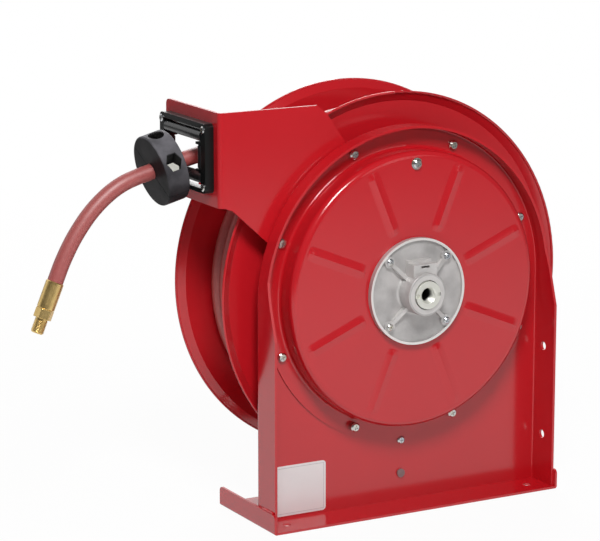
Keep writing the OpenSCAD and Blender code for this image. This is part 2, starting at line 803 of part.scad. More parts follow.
ratchet_t = 3;
ratchet_w = 42;
ratchet_seat = 12;
pawl_reach = 27.5;
ratchet_r = pawl_pivot_r - pawl_reach;
ratchet_in = min(ratchet_r - ratchet_w, tie_circle_r - ratchet_seat);
ratchet_teeth = 12;
ratchet_back = front_web - 3.8;
ratchet_front = ratchet_back - ratchet_t;
pawl_len = 60;
pawl_half = 4;
pawl_t = 4;
pawl_front = ratchet_front - 0.5;
pawl_rear = pawl_front + pawl_t;
pawl_in = 42.5;
pawl_swing = 10;
pawl_boss_r = 8;
pawl_head_h = 2.6;
pawl_spacer_r = 5.5;
pawl_nut_h = 2.4;
pawl_bolt_end = 2.6;
notch_gap = 1.2;
notch_len = 24;
notch_slant = 10;
notch_out = 20;
spacer_r = medium_r + 3;

// One notch, drawn from the pawl's pivot along the engaged pawl
module notch() polygon([
    [pawl_len + notch_gap, -notch_out], [pawl_len + notch_gap, pawl_half + notch_gap],
    [pawl_len - notch_len, pawl_half + notch_gap], [pawl_len - notch_len - notch_slant, -notch_out]
]);

module ratchet_ring() color(zinc) at_axis() difference() {
    tube(ratchet_front, ratchet_back, ratchet_in, ratchet_r);
    for (k = [0:ratchet_teeth - 1]) rotate([0, 0, k * 360 / ratchet_teeth])
        translate([0, pawl_pivot_r, ratchet_front - over]) rotate([0, 0, -pawl_in]) mirror([0, 1, 0])
            linear_extrude(ratchet_t + 2 * over) notch();
    for (k = [0:5]) polar(tie_circle_r, 60 * k)
        pin(ratchet_front - over, ratchet_back + over, medium_r + snug);
}

module ratchet_spacers() color(zinc) at_axis() for (k = [0:5]) polar(tie_circle_r, 60 * k)
    tube(ratchet_back, front_web, medium_r + snug, spacer_r);

module at_pawl_pivot() at_axis() polar(pawl_pivot_r, -90) rotate([0, 0, -90]) children();

module pawl() color(zinc) at_pawl_pivot() difference() {
    union() {
        pin(pawl_front, pawl_rear, pawl_boss_r);
        translate([0, 0, pawl_front]) rotate([0, 0, pawl_swing - pawl_in])
            translate([0, -pawl_half]) cube([pawl_len, 2 * pawl_half, pawl_t]);
    }
    pin(pawl_front - over, pawl_rear + over, medium_r + running);
}

module pawl_bolt() color(zinc) at_pawl_pivot()
    cross_screw(0, pawl_rear + pawl_bolt_end, medium_r, pawl_head_r, pawl_head_h);

module pawl_spacer() color(zinc) at_pawl_pivot()
    tube(plate_back, pawl_front - running, medium_r, pawl_spacer_r);

module pawl_nut() color(zinc) at_pawl_pivot()
    nut(pawl_rear + running, pawl_rear + pawl_nut_h, medium_r, medium_nut_r);

coil_r = 7.4;
wire_r = 0.7;
coil_turns = 4;
coil_pitch = 1.9;
coil_y = plate_back + 3;
pivot_z = axis_h - pawl_pivot_r;
// The lower leg leans on the post's left side, the upper leg runs along the engaged pawl
leg_x = post_shank_r + wire_r + snug;
leg_reach = norm([leg_x, post_drop]);
low_angle = 270 - atan(leg_x / post_drop) - acos(coil_r / leg_reach);
high_angle = 90 + pawl_in;
leg_low = sqrt(leg_reach * leg_reach - coil_r * coil_r) + 3;
leg_high = 24;
coil_rings = 8 * coil_turns + 1;
coil_step = (low_angle - high_angle + 360 * coil_turns) / coil_rings;
function coil_point(i) = let (a = low_angle - coil_step * i)
    [coil_r * cos(a), coil_y + coil_pitch * i / 8, pivot_z + coil_r * sin(a)];
function coil_tangent(i) = let (a = low_angle - coil_step * i) [sin(a), 0, -cos(a)];
coil_path = concat(
    [coil_point(0) - leg_low * coil_tangent(0)],
    [for (i = [0:coil_rings]) coil_point(i)],
    [coil_point(coil_rings) + leg_high * coil_tangent(coil_rings)]
);

// Torsion spring round the pawl's spacer
module pawl_spring() color(steel) swept(coil_path, wire_r, 6);

module spring_post() color(zinc) at_axis() polar(post_r, -90) {
    pin(-post_head_h, 0, post_head_r);
    pin(-over, plate_back + post_len, post_shank_r);
}

// ---- turning shaft ----

port_y = (core_front + core_rear) / 2;
collar_len = 8.4;
flange_r = 45;
flange_t = 3;
flange_circle_r = 36;
shaft_rear = rear_web + flange_t + collar_len;
end_r = 8;
end_len = 11;
end_washer_t = 2;
end_washer_r = 17;
end_nut_h = 7;
end_nut_r = 13.5;
bore_r = passage_r + 0.5;
bore_end = port_y + 8;
bore_step = stem_back + 2;
clip_r = shaft_r - 1;
clip_out_r = shaft_r + 1.8;
clip_slot = 4;
clip_t = 1.2;
clip_front = bush_front - clip_t - 0.2;
key_w = 6;
key_len = 14;
key_y = spring_rear - spring_w / 2;
key_in = shaft_r - 3;
key_out = shaft_r + 3;
arbor_slot_w = 2;
arbor_slot_depth = 3;
port_r = 5.2;
tail_angle = 90;
grub_r = 2.5;
grub_angles = [30, 150];
grub_point = shaft_r - 1;
grub_sink = 0.6;
hub_collar_r = 20;
front_lap = 0.9;
front_collar = front_web - flange_t - collar_len + front_lap;
grub_y = [front_collar + (collar_len - front_lap) / 2, rear_web + flange_t + collar_len / 2];

module at_port() at_axis() polar(0, tail_angle) translate([0, 0, port_y]) rotate([0, 90, 0]) children();

// The set screws' places on the shaft: local z runs outwards
module at_grub_screws() for (y = grub_y, a = grub_angles)
    polar(grub_point, a) translate([0, 0, y]) rotate([0, 90, 0]) children();

module key_block() translate([key_in, -key_w / 2, key_y - key_len / 2])
    cube([key_out - key_in, key_w, key_len]);

module shaft() color(steel) difference() {
    at_axis() difference() {
        union() {
            pin(shaft_front, shaft_rear, shaft_r);
            pin(shaft_rear - over, shaft_rear + end_len, end_r);
        }
        pin(shaft_front - over, bore_end, bore_r);
        pin(shaft_front - over, bore_step, counterbore_r);
        tube(clip_front, clip_front + clip_t, clip_r, shaft_r + over);
        key_block();
        at_grub_screws() pin(0, shaft_r, grub_r);
    }
    at_port() pin(0, shaft_r + over, port_r);
}

module shaft_clip() color(zinc) at_axis() difference() {
    tube(clip_front, clip_front + clip_t, clip_r, clip_out_r);
    translate([0, -clip_slot / 2, clip_front - over])
        cube([clip_out_r + over, clip_slot, clip_t + 2 * over]);
}

module spring_arbor() color(steel) at_axis() difference() {
    tube(spring_front, spring_rear, shaft_r, arbor_r);
    key_block();
    translate([-arbor_r - over, -arbor_slot_w / 2, spring_front - over])
        cube([arbor_slot_depth + over, arbor_slot_w, spring_w + 2 * over]);
}

module arbor_key() color(steel) at_axis() key_block();

// Six places round the spool's flanges
module at_flange_bolts() for (k = [0:5]) polar(flange_circle_r, 60 * k + 30) children();

// A flange of the spool drawn from its sheave: local z runs from the sheave towards the collar's end
module spool_flange(len) difference() {
    union() {
        pin(0, len, hub_collar_r);
        pin(0, flange_t, flange_r);
    }
    pin(-over, len + over, shaft_r);
    at_flange_bolts() pin(-over, flange_t + over, small_r + snug);
}

module spool_flanges() color(zinc) at_axis() difference() {
    union() {
        translate([0, 0, front_web]) mirror([0, 0, 1]) spool_flange(front_web - front_collar);
        translate([0, 0, rear_web]) spool_flange(shaft_rear - rear_web);
    }
    at_grub_screws() pin(0, hub_collar_r, grub_r);
}

module flange_bolts() color(zinc) at_axis() at_flange_bolts() {
    small_screw(front_web - flange_t, core_front + small_nut_h);
    translate([0, 0, rear_web + flange_t]) mirror([0, 0, 1])
        small_screw(0, flange_t + sheave_t + small_nut_h);
}

module flange_nuts() color(zinc) at_axis() at_flange_bolts() {
    small_nut(core_front);
    small_nut(core_rear - small_nut_h);
}

module set_screws() color(steel) at_axis() at_grub_screws()
    pin(0, hub_collar_r - grub_point - grub_sink, grub_r);

module end_washer() color(zinc) at_axis()
    tube(shaft_rear, shaft_rear + end_washer_t, end_r + snug, end_washer_r);

module end_nut() color(zinc) at_axis() translate([0, 0, shaft_rear + end_washer_t])
    nut(0, end_nut_h, end_r, end_nut_r);

// ---- spool ----

hem_r = 1.5;
sheave_hole_r = shaft_r + 8;
bead_radii = [72, 90];
bead_w = 4;
bead_h = 1.6;

// Section of a sheave: x is the radius, y runs from the web's outer face towards the hose
sheave_points = concat(
    [[0, sheave_t], [0, 0]],
    [for (r = bead_radii, p = [[-bead_w, 0], [-bead_w / 2, -bead_h], [bead_w / 2, -bead_h], [bead_w, 0]])
        [r, 0] + p],
    [
        [sheave_r - flare_w - over, 0], [sheave_r - hem_r - over, hem_r - flare_h],
        [sheave_r - hem_r, hem_r - flare_h + sheave_t], [sheave_r - flare_w, sheave_t]
    ]
);

module sheave() difference() {
    union() {
        rotate_extrude() polygon(sheave_points);
        rotate_extrude() translate([sheave_r - hem_r, hem_r - flare_h]) circle(hem_r);
    }
    pin(-over, sheave_t + over, sheave_hole_r);
    for (k = [0:5]) polar(tie_circle_r, 60 * k) pin(-over, sheave_t + over, medium_r + snug);
    at_flange_bolts() pin(-over, sheave_t + over, small_r + snug);
}

module front_sheave() color(red) at_axis() translate([0, 0, front_web]) sheave();
module rear_sheave() color(red) at_axis() translate([0, 0, rear_web]) mirror([0, 0, 1]) sheave();

module drum() color(red) difference() {
    at_axis() tube(core_front, core_rear, drum_r - drum_t, drum_r);
    at_port() pin(0, drum_r + over, hose_r + seat_gap);
}

module tie_bolts() color(zinc) at_axis() for (k = [0:5]) polar(tie_circle_r, 60 * k)
    medium_screw(ratchet_front, rear_web + medium_nut_h + over);

module tie_nuts() color(zinc) at_axis() for (k = [0:5]) polar(tie_circle_r, 60 * k) medium_nut(rear_web);

tail_foot = shaft_r - 4;
tail_nut_r = 14;
tail_hex_r = 10.5;
tail_mid_r = 26;
tail_ferrule_r = 9.4;
tail_ferrule_end = 54;

// Brass stub in the shaft's port, with the ferrule on the hose's inner end
module tail_fitting() color(brass) at_port() {
    pin(tail_foot, tail_nut_r, port_r - snug);
    translate([0, 0, tail_nut_r]) cylinder(h = tail_mid_r - tail_nut_r, r = tail_hex_r, $fn = 6);
    pin(tail_mid_r, tail_ferrule_end, tail_ferrule_r);
}

module tail_hose() color(salmon) at_port() pin(tail_ferrule_end, drum_r, hose_r);

// ---- hose ----

hose_r = hose_d / 2;
layer_step = hose_d * 0.915;
turn_r = drum_r + hose_r + (hose_layers - 1) * layer_step;
pack_r = turn_r + hose_r;
loop_rings = 24;
core_gap = 0.4;
turn_pitch = (spool_w - hose_d - 2 * core_gap) / outer_turns;
core_r = (turn_r - hose_r) * cos(180 / loop_rings) - seat_gap;

// The inner layers of the hose, as one plain ring
module hose_core() color(salmon) at_axis()
    tube(core_front + core_gap, core_rear - core_gap, drum_r + snug, core_r);

first_turn_y = core_front + core_gap + hose_r;
turns_from = -80;
function turn_point(i) = let (a = turns_from + 360 * i / loop_rings)
    [turn_r * cos(a), first_turn_y + turn_pitch * i / loop_rings, axis_h + turn_r * sin(a)];
turn_steps = outer_turns * loop_rings;
function turn_tangent(i) = let (a = turns_from + 360 * i / loop_rings) [-sin(a), 0, cos(a)];
turns_path = concat(
    [turn_point(0) - hose_d * turn_tangent(0)],
    [for (i = [0:turn_steps]) turn_point(i)],
    [turn_point(turn_steps) + hose_d * turn_tangent(turn_steps)]
);
// Printed, so that a new size shows whether the turns still lie clear of each other
turns_gap = min([for (i = [0:turn_steps - loop_rings], j = [-1, 0, 1])
    norm(turn_point(i) - turn_point(i + loop_rings + j))]) - hose_d;
echo(least_gap_between_turns = turns_gap);

// The outer layer of the wound hose
module hose_turns() color(salmon) swept(turns_path, hose_r, 6);

lead_y = 62;
lead_from = -80;
lead_to = 99.5;
lead_steps = 12;
lead_step = (lead_to - lead_from) / lead_steps;
lead_r = (pack_r + seat_gap) / cos(lead_step / 2) + hose_r;
// The free stretch in X and Z, seen from the middle of the guide's outlet face: through the
// rollers and the stop, then hanging down to the fitting
free_points = [
    [112, 14.6], [42, 2.8], [12, -2.2], [-3, -5.3], [-20, -9.4], [-50, -17.1], [-64, -20.8],
    [-77, -25.2], [-90, -32], [-103, -41.5], [-115, -52.8], [-125, -64.8], [-134, -77.6],
    [-141.5, -90.4], [-148, -103.3], [-154.5, -118.6]
];
lead_path = concat(
    [for (i = [0:lead_steps]) let (a = lead_from + i * lead_step)
        [lead_r * cos(a), lead_y, axis_h + lead_r * sin(a)]],
    [for (p = free_points) [p[0] - guide_x, lead_y, p[1] + guide_z + axis_h]]
);
function drop_angle(a, b) = atan2(a[2] - b[2], a[0] - b[0]);
end_point = lead_path[len(lead_path) - 1];
end_slope = drop_angle(lead_path[len(lead_path) - 2], end_point);
before_stop = lead_path[lead_steps + 5];
after_stop = lead_path[lead_steps + 6];
stop_point = (before_stop + after_stop) / 2;
stop_slope = drop_angle(before_stop, after_stop);

// The last turn over the pack, the run through the rollers and the stop, and the hanging end
module hose_lead() color(salmon) swept(lead_path, hose_r, 10);

stop_split = 0.6;
stop_turn = 39.7;
stop_edge_r = 1.6;
stop_screw_y = 18.5;
stop_seat = 14;
stop_pocket_r = 8;
stop_hex_r = 8.8;
stop_screw_r = 3.4;
stop_head_r = 6;
stop_head_h = 4.5;
stop_nut_h = 6;
stop_nut_r = 7.4;

module at_stop() translate(stop_point) rotate([0, -90 - stop_slope, 0]) rotate([0, 0, -stop_turn])
    children();

// The two clamping screws point opposite ways, so that both halves are the same moulding
module at_stop_screws() for (s = [-1, 1])
    translate([0, s * stop_screw_y, 0]) rotate([0, s * 90, 0]) children();

module stop_section() {
    translate([0, -stop_w / 2]) square([stop_r - stop_edge_r, stop_w]);
    translate([0, stop_edge_r - stop_w / 2]) square([stop_r, stop_w - 2 * stop_edge_r]);
    for (s = [-1, 1]) translate([stop_r - stop_edge_r, s * (stop_w / 2 - stop_edge_r)]) circle(stop_edge_r);
}

module stop_half() difference() {
    rotate_extrude() stop_section();
    pin(-stop_w, stop_w, hose_r + seat_gap);
    translate([-stop_r - over, -stop_r - over, -stop_w])
        cube([stop_r + over + stop_split / 2, 2 * stop_r + 2 * over, 2 * stop_w]);
    at_stop_screws() {
        pin(-stop_r, stop_r, stop_screw_r + snug);
        pin(stop_seat, stop_r, stop_pocket_r);
        translate([0, 0, -stop_r]) cylinder(h = stop_r - stop_seat, r = stop_hex_r, $fn = 6);
    }
}

module stop_upper_half() color(black) at_stop() stop_half();
module stop_lower_half() color(black) at_stop() rotate([0, 0, 180]) stop_half();

module stop_screws() color(zinc) at_stop() at_stop_screws() mirror([0, 0, 1])
    cross_screw(-stop_seat, stop_seat + stop_nut_h + over, stop_screw_r, stop_head_r, stop_head_h);

module stop_nuts() color(zinc) at_stop() at_stop_screws()
    nut(-stop_seat - stop_nut_h, -stop_seat, stop_screw_r, stop_nut_r);

ferrule_len = 29;
ferrule_r = 9.2;
hex_len = 10;
hex_r = 9.6;
hex_turn = 15;
thread_r = 6.85;
nipple_len = 15.5;
nipple_bore = 4;
barb_r = 5;
barb_len = 22;
barb_start = ferrule_len - barb_len;
hex_end = ferrule_len + hex_len;
nipple_end = hex_end + nipple_len;
edge_cut = 0.9;

module at_hose_end() translate(end_point) rotate([0, -90 - end_slope, 0]) children();

// A pin from z0 to z1 with both its edges chamfered
module chamfered_pin(z0, z1, r, cut) rotate_extrude() polygon([
    [0, z0], [r - cut, z0], [r, z0 + cut], [r, z1 - cut], [r - cut, z1], [0, z1]
]);

module hose_ferrule() color(brass) at_hose_end() difference() {
    chamfered_pin(0, ferrule_len, ferrule_r, edge_cut);
    pin(barb_start, ferrule_len + over, barb_r);
}

module hose_nipple() color(brass) at_hose_end() difference() {
    union() {
        pin(barb_start, ferrule_len + over, barb_r);
        intersection() {
            chamfered_pin(ferrule_len, hex_end, hex_r + over, over + edge_cut);
            rotate([0, 0, hex_turn]) translate([0, 0, ferrule_len])
                cylinder(h = hex_len, r = hex_r, $fn = 6);
        }
        chamfered_pin(hex_end - over, nipple_end, thread_r, edge_cut);
    }
    pin(barb_start - over, nipple_end + over, nipple_bore);
}

base_plate();
pedestal();
weld_beads();
blank_label();
spring_cover();
cover_bolts();
cover_nuts();
washers();
power_spring();
anchor_screw();
hub_casting();
small_screws();
small_nuts();
inlet_body();
inlet_seals();
bushes();
bearing_housing();
guide_arm();
roller_bracket();
bracket_screws();
bracket_nuts();
roller_pins();
top_roller();
bottom_roller();
front_roller();
rear_roller();
pawl();
pawl_bolt();
pawl_spacer();
pawl_nut();
pawl_spring();
spring_post();
shaft();
shaft_clip();
spring_arbor();
arbor_key();
spool_flanges();
flange_bolts();
flange_nuts();
set_screws();
end_washer();
end_nut();
front_sheave();
rear_sheave();
drum();
ratchet_ring();
ratchet_spacers();
tie_bolts();
tie_nuts();
tail_fitting();
tail_hose();
hose_core();
hose_turns();
hose_lead();
stop_upper_half();
stop_lower_half();
stop_screws();
stop_nuts();
hose_ferrule();
hose_nipple();
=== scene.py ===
import math

import bpy
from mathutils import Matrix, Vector


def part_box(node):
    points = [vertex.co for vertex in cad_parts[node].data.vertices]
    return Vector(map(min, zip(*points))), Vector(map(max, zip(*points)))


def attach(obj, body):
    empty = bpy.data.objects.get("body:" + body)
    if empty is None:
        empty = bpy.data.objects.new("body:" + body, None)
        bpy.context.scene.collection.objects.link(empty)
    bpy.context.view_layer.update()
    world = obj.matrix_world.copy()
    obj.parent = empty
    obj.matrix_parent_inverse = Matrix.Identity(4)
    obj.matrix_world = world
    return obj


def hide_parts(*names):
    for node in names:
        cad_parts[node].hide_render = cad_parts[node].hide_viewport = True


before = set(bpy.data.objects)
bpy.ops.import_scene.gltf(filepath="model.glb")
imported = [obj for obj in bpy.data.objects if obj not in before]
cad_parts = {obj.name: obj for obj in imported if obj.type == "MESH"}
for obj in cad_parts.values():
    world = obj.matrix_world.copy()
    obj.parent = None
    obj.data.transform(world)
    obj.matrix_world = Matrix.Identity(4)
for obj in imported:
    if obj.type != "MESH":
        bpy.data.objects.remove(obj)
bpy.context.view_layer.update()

# ---- Camera ----
# It stands to the left of the reel and a little above it, almost three metres off, with a long
# lens, so that near and far pieces keep nearly the same scale.
camera_turn = 28.97
camera_dip = 12.30
camera_data = bpy.data.cameras.new("camera")
camera_data.lens = 162.44
camera = bpy.data.objects.new("camera", camera_data)
camera.location = (-1.4307, -2.3648, 0.8536)
camera.rotation_euler = (math.radians(90 - camera_dip), 0, math.radians(-camera_turn))
bpy.context.collection.objects.link(camera)
bpy.context.scene.camera = camera

# ---- Wound hose ----
# Twelve and a half metres of braided hose lie on the drum in three layers that wind to and fro.
# The wound length is one tube: it starts at the bottom of the outer layer and ends at the drum.
axis_z = 0.2355
hose_r = 0.00825
drum_r = 0.122
pack_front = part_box("hose_core")[0].y + hose_r
pack_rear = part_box("hose_core")[1].y - hose_r
outer_r = 0.16044
layer_radii = [outer_r, outer_r - 2 * hose_r, drum_r + hose_r]
turns_per_layer = 4.25
outer_end_angle = -80
steps_per_turn = 72


def deselect():
    if bpy.context.object and bpy.context.object.mode == "EDIT":
        bpy.ops.object.mode_set(mode="OBJECT")
    bpy.ops.object.select_all(action="DESELECT")


def pick(piece):
    deselect()
    piece.select_set(True)
    bpy.context.view_layer.objects.active = piece
    return piece


def hose_tube(name, path):
    """A round tube along the path, as a mesh whose UV map runs along it and round it."""
    curve = bpy.data.curves.new(name, "CURVE")
    curve.dimensions = "3D"
    curve.bevel_depth = hose_r
    curve.bevel_resolution = 6
    curve.use_fill_caps = True
    spline = curve.splines.new("POLY")
    spline.points.add(len(path) - 1)
    for point, place in zip(spline.points, path):
        point.co = (*place, 1)
    tube = bpy.data.objects.new(name, curve)
    bpy.context.collection.objects.link(tube)
    pick(tube)
    bpy.ops.object.convert(target="MESH")
    bpy.ops.object.shade_smooth_by_angle(angle=math.radians(50))
    return bpy.context.object


def path_length(path):
    return sum((Vector(b) - Vector(a)).length for a, b in zip(path, path[1:]))


def round_axis(radius, angle, y):
    return (radius * math.cos(angle), y, axis_z + radius * math.sin(angle))


wound_path = []
angle = math.radians(outer_end_angle)
layer_steps = round(turns_per_layer * steps_per_turn)
climb_steps = steps_per_turn // 2
for layer, radius in enumerate(layer_radii):
    ends = (pack_rear, pack_front) if layer % 2 == 0 else (pack_front, pack_rear)
    for step in range(layer_steps):
        y = ends[0] + (ends[1] - ends[0]) * step / layer_steps
        wound_path.append(round_axis(radius, angle, y))
        angle -= 2 * math.pi / steps_per_turn
    if layer < len(layer_radii) - 1:
        for step in range(climb_steps):
            share = (1 - math.cos(math.pi * step / climb_steps)) / 2
            radius_here = radius + (layer_radii[layer + 1] - radius) * share
            wound_path.append(round_axis(radius_here, angle, ends[1]))
            angle -= 2 * math.pi / steps_per_turn

wound_hose = hose_tube("wound_hose", wound_path)


class Wire:
    """A value on its way through a material's nodes. Arithmetic on it adds Math nodes."""

    def __init__(self, finish, socket):
        self.finish = finish
        self.socket = socket

    def length(self):
        return self.finish.node("ShaderNodeVectorMath", {"operation": "LENGTH"}, {0: self}, "Value")

    def output(self, name):
        return Wire(self.finish, self.socket.node.outputs[name])

    def math(self, operation, *values):
        return self.finish.node("ShaderNodeMath", {"operation": operation}, dict(enumerate(values)))

    def fract(self):
        return self.math("FRACT", self)

    def __add__(self, other):
        return self.math("ADD", self, other)

    def __sub__(self, other):
        return self.math("SUBTRACT", self, other)

    def __rsub__(self, other):
        return self.math("SUBTRACT", other, self)

    def __mul__(self, other):
        return self.math("MULTIPLY", self, other)

    def __pow__(self, other):
        return self.math("POWER", self, other)

    def __lt__(self, other):
        return self.math("LESS_THAN", self, other)

    def __gt__(self, other):
        return self.math("GREATER_THAN", self, other)

    def __abs__(self):
        return self.math("ABSOLUTE", self)

    __radd__ = __add__
    __rmul__ = __mul__


class Finish:
    """A material that is built up node by node and ends in its Principled shader."""

    def __init__(self, name, kind="materials", shader="Principled BSDF"):
        self.material = getattr(bpy.data, kind).new(name)
        self.material.use_nodes = True
        self.tree = self.material.node_tree
        self.shader = self.tree.nodes[shader]

    def node(self, kind, settings=None, inputs=None, output=0):
        made = self.tree.nodes.new(kind)
        for key, value in (settings or {}).items():
            if key == "stops":
                while len(made.color_ramp.elements) < len(value):
                    made.color_ramp.elements.new(1)
                for element, (position, colour) in zip(made.color_ramp.elements, value):
                    element.position = position
                    element.color = (*colour, 1)
            else:
                setattr(made, key, value)
        for key, value in (inputs or {}).items():
            self.feed(made.inputs[key], value)
        return Wire(self, made.outputs[output])

    def feed(self, socket, value):
        if isinstance(value, Wire):
            self.tree.links.new(value.socket, socket)
        elif hasattr(value, "__len__") and len(value) == 3 and len(socket.default_value) == 4:
            socket.default_value = (*value, 1)
        else:
            socket.default_value = value

    def place(self, origin=(0, 0, 0)):
        """The point on the piece, measured from the origin."""
        here = self.node("ShaderNodeTexCoord", output="Object")
        return self.node("ShaderNodeVectorMath", {"operation": "SUBTRACT"}, {0: here, 1: origin})

    def split(self, vector):
        parts = self.node("ShaderNodeSeparateXYZ", {}, {0: vector})
        return [parts.output(axis) for axis in "XYZ"]

    def noise(self, scale, detail=2, stretch=(1, 1, 1)):
        place = self.node("ShaderNodeMapping", {}, {"Vector": self.place(), "Scale": stretch})
        sockets = {"Vector": place, "Scale": scale, "Detail": detail}
        return self.node("ShaderNodeTexNoise", {}, sockets)

    def mix(self, factor, low, high):
        sockets = {0: factor, 6: low, 7: high}
        return self.node("ShaderNodeMix", {"data_type": "RGBA"}, sockets, output=2)

    def between(self, value, low, high, start=0, stop=1):
        """From low to high as the value goes from start to stop."""
        sockets = {"Value": value, "From Min": start, "From Max": stop, "To Min": low, "To Max": high}
        return self.node("ShaderNodeMapRange", {}, sockets)

    def bump(self, height, depth, strength):
        sockets = {"Height": height, "Distance": depth, "Strength": strength}
        return self.node("ShaderNodeBump", {}, sockets)

    def surface(self, **sockets):
        named = {socket.name.lower().replace(" ", "_"): socket for socket in self.shader.inputs}
        for name, value in sockets.items():
            self.feed(named[name], value)
        return self.material


# Soft red PVC, a little see-through, so that the pale threads of the braid show as faint dashes.
braid_pitch = 0.024
braid_threads = 6
braid_colour = (0.72, 0.32, 0.26)
dash_half_w = 0.07
dash_half_len = 0.30


def hose_finish(name, length, colours):
    """PVC for a tube of this length, whose UV map runs along it and round it."""
    finish = Finish(name)
    way_along, way_round, _ = finish.split(finish.node("ShaderNodeUVMap"))
    along = way_along * (length / braid_pitch)
    around = way_round * braid_threads
    left_hand = abs((around + along).fract() - 0.5)
    right_hand = abs((around - along).fract() - 0.5)
    left_dashes = (left_hand < dash_half_w) * (right_hand < dash_half_len)
    right_dashes = (right_hand < dash_half_w) * (left_hand < dash_half_len)
    threads = left_dashes + right_dashes
    mottle = finish.noise(60, 3)
    dashes = threads.math("MINIMUM", threads, 1) * finish.between(mottle, 0.05, 0.42)
    rubber = finish.mix(finish.noise(9, 2), *colours)
    return finish.surface(
        base_color=finish.mix(dashes * 0.3, rubber, braid_colour),
        roughness=finish.between(mottle, 0.44, 0.54),
        ior=1.8,
        normal=finish.bump(finish.noise(420, 2) + threads * 0.2, 0.00012, 0.2),
    )


# The hose on the drum and the tail hose get darker colours than the free end: painted shade inside
# the spool.
shaded_hose_colours = [(0.35, 0.040, 0.036), (0.43, 0.058, 0.050)]
wound_pvc = hose_finish("wound_hose_pvc", path_length(wound_path), shaded_hose_colours)
wound_hose.data.materials.append(wound_pvc)
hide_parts("hose_turns", "hose_core")
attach(wound_hose, "spool")

# ---- Last turn and free end of the hose ----
# The last half turn lies over the pack, runs through the rollers and the stop and hangs from the
# stop in one stiff curve, down to its brass fitting.
lead_y = 0.062
lead_r = 0.17869
lead_from = -80
lead_to = 99.5
free_points = [
    (-0.100, 0.1644), (-0.170, 0.1526), (-0.200, 0.1476), (-0.215, 0.1445), (-0.232, 0.1404),
    (-0.262, 0.1327), (-0.276, 0.129), (-0.289, 0.1246), (-0.302, 0.1178), (-0.315, 0.1083),
    (-0.327, 0.097), (-0.337, 0.085), (-0.346, 0.0722), (-0.3535, 0.0594), (-0.360, 0.0465),
    (-0.3665, 0.0312),
]


def smooth_through(points, steps):
    """Points along a smooth curve that passes through all the given ones."""
    ends = [2 * points[0] - points[1], *points, 2 * points[-1] - points[-2]]
    curve = []
    for a, b, c, d in zip(ends, ends[1:], ends[2:], ends[3:]):
        for step in range(steps):
            t = step / steps
            curve.append(0.5 * (
                2 * b + (c - a) * t + (2 * a - 5 * b + 4 * c - d) * t ** 2
                + (3 * b - a - 3 * c + d) * t ** 3
            ))
    return [tuple(point) for point in curve] + [tuple(points[-1])]


arc_steps = 72
steps_per_point = 6
lead_path = []
for step in range(arc_steps + 1):
    turn = math.radians(lead_from + (lead_to - lead_from) * step / arc_steps)
    lead_path.append(round_axis(lead_r, turn, lead_y))
free = [Vector(lead_path[-1])] + [Vector((x, lead_y, axis_z + z)) for x, z in free_points]
lead_path += smooth_through(free, steps_per_point)[1:]
hose_lead = hose_tube("hose_free_end", lead_path)
free_colours = [(0.36, 0.068, 0.064), (0.44, 0.095, 0.088)]
free_pvc = hose_finish("free_hose_pvc", path_length(lead_path), free_colours)
hose_lead.data.materials.append(free_pvc)
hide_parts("hose_lead")
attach(hose_lead, "stand")

# ---- Brass hose end ----
# A crimped ferrule holds the hose on its tail, and the nipple has a hexagon for the spanner and a
# tapered pipe thread cut on its end. The nipple is one turned piece with its bore.
fitting_start = Vector(lead_path[-1])
hose_end_dip = 66.98
fitting_turn = -90 - hose_end_dip
ferrule_r = 0.0092
knurl_slope = 44
knurl_grooves = 7
knurl_middle = 0.0135
knurl_half_len = 0.0105
hex_r = 0.0096
hex_turn = 15
hex_start = 0.029
hex_end = 0.039
hex_bevel = 0.0006
nipple_end = 0.0545
nipple_lead_in = 0.001
bore_r = 0.004
thread_r = 0.00685
thread_depth = 0.0006
thread_pitch = 0.00141
thread_turns = 9


def brass_finish(name, relief):
    """Brass. The relief gives its height, from the angle round the piece and the way along it."""
    finish = Finish(name)
    cloud = finish.noise(90, 3)
    axis = {"rotation_type": "Y_AXIS", "invert": True}
    turned = {"Vector": finish.place(fitting_start), "Angle": math.radians(fitting_turn)}
    x, y, z = finish.split(finish.node("ShaderNodeVectorRotate", axis, turned))
    height = relief(finish, x.math("ARCTAN2", y, x), z)
    return finish.surface(
        base_color=finish.mix(cloud, (0.62, 0.42, 0.14), (0.82, 0.60, 0.26)),
        metallic=0.9,
        roughness=finish.between(cloud, 0.28, 0.34),
        normal=finish.bump(height, 0.0002, 0.2),
    )


def turning_marks(finish, around, along):
    """Faint marks of the lathe, alike all over."""
    return finish.noise(400, 2) * 0.15


def knurl(finish, around, along):
    """Diamonds cut by two sets of crossing helical grooves, between two plain bands."""
    rise = along * (knurl_slope / ferrule_r)
    one = around * knurl_grooves + rise
    other = around * knurl_grooves - rise
    grooves = abs(one.fract() - 0.5) + abs(other.fract() - 0.5) * 0.4
    return grooves * (abs(along - knurl_middle) < knurl_half_len)


brass = brass_finish("brass", turning_marks)
knurled_brass = brass_finish("knurled_brass", knurl)


def profile(name, outline):
    """A line of edges beside the Z axis, through the outline's radii and heights."""
    mesh = bpy.data.meshes.new(name)
    edges = [(i, i + 1) for i in range(len(outline) - 1)]
    mesh.from_pydata([(r, 0, z) for r, z in outline], edges, [])
    line = bpy.data.objects.new(name, mesh)
    bpy.context.collection.objects.link(line)
    return pick(line)


def turned_part(name, outline, sides=48):
    """A body of revolution about +Z, from an outline that ends where it starts."""
    piece = profile(name, outline)
    bpy.ops.object.mode_set(mode="EDIT")
    bpy.ops.mesh.select_all(action="SELECT")
    bpy.ops.mesh.spin(steps=sides, angle=2 * math.pi, center=(0, 0, 0), axis=(0, 0, 1))
    bpy.ops.mesh.select_all(action="SELECT")
    bpy.ops.mesh.remove_doubles(threshold=0.00001)
    bpy.ops.mesh.normals_make_consistent(inside=False)
    bpy.ops.object.mode_set(mode="OBJECT")
    bpy.ops.object.shade_smooth_by_angle(angle=math.radians(30))
    return piece


